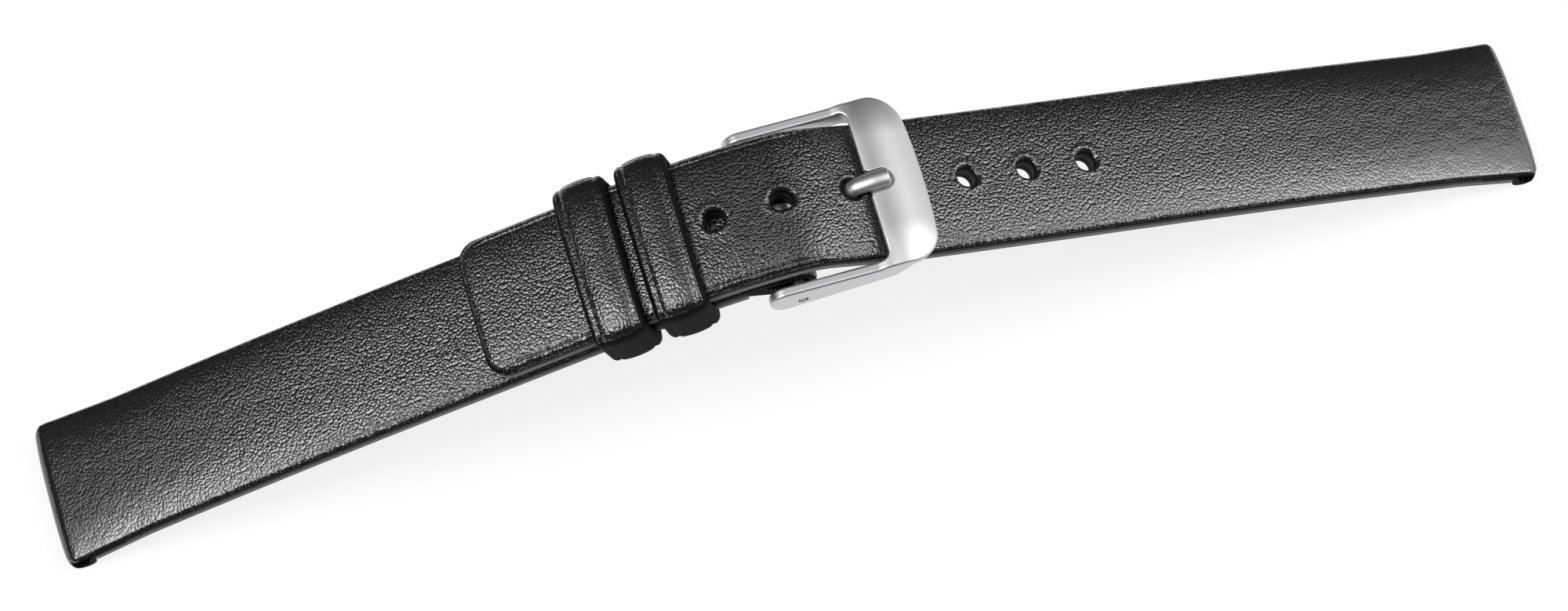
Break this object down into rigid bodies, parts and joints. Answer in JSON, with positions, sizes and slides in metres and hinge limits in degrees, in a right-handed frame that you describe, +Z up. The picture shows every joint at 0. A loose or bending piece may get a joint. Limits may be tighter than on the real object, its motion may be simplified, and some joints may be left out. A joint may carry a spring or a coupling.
{
  "type": "leather watch strap",
  "caption": "Buckled two-piece leather watch strap: pin buckle on a sprung bar, a fixed and a sliding keeper, punched holes and turned lug ends.",
  "frame": {"origin": "on the ground, midway between the two lug ends, on the strap's middle line", "axes": "+X along the strap towards the lug end of the long, holed strap; +Y across it to the far edge of the picture; +Z up"},
  "size_m": [0.1486, 0.0174, 0.0282],
  "materials": {
    "grained_calf": "black calf leather with a fine pebbled grain, semi-matt",
    "leather_board": "bonded leather board, edge painted black",
    "lining_leather": "smooth grey lining leather with a pale cut edge",
    "satin_steel": "stainless steel, fine satin finish with bright rounded edges",
    "bar_steel": "drawn stainless steel",
    "staple_wire": "bright plated wire"
  },
  "bodies": {
    "short_strap": {"short_upper": "grained_calf", "short_filler": "leather_board", "short_lining": "lining_leather", "fixed_keeper": "grained_calf", "fixed_keeper_core": "leather_board", "fixed_keeper_staple": "staple_wire", "spring_bar_tube": "bar_steel", "spring_bar_spring": "bar_steel"},
    "long_strap": {"long_upper": "grained_calf", "long_filler": "leather_board", "long_lining": "lining_leather"},
    "buckle": {"buckle_frame": "satin_steel"},
    "tongue": {"buckle_tongue": "satin_steel"},
    "free_keeper": {"free_keeper": "grained_calf", "free_keeper_core": "leather_board", "free_keeper_staple": "staple_wire"},
    "plunger_near": {"spring_bar_plunger_near": "bar_steel"},
    "plunger_far": {"spring_bar_plunger_far": "bar_steel"}
  },
  "joints": [
    {"name": "strap_flex", "type": "hinge", "parent": "short_strap", "child": "long_strap", "pos_m": [-0.00152, 0, 0.02371], "axis": [0, -1, 0], "range_deg": [-20, 20], "stiffness_Nm_per_rad": 0.1, "deforming": ["long_upper", "long_filler", "long_lining"]},
    {"name": "buckle_swivel", "type": "hinge", "parent": "short_strap", "child": "buckle", "pos_m": [-0.00152, 0, 0.02371], "axis": [0, -1, 0], "range_deg": [-20, 20]},
    {"name": "tongue_lift", "type": "hinge", "parent": "buckle", "child": "tongue", "pos_m": [-0.00152, 0, 0.02371], "axis": [0, -1, 0], "range_deg": [0, 5]},
    {"name": "keeper_slide", "type": "slide", "parent": "short_strap", "child": "free_keeper", "axis": [-0.952, 0, -0.306], "range_m": [0, 0.022]},
    {"name": "plunger_near_press", "type": "slide", "parent": "short_strap", "child": "plunger_near", "axis": [0, 1, 0], "range_m": [0, 0.001], "stiffness_N_per_m": 300, "springref_m": -0.002, "deforming": ["spring_bar_spring"]},
    {"name": "plunger_far_press", "type": "slide", "parent": "short_strap", "child": "plunger_far", "axis": [0, -1, 0], "range_m": [0, 0.001], "stiffness_N_per_m": 300, "springref_m": -0.002}
  ],
  "couplings": [
    {"joint": "strap_flex", "follows": "buckle_swivel", "ratio": 1}
  ]
}
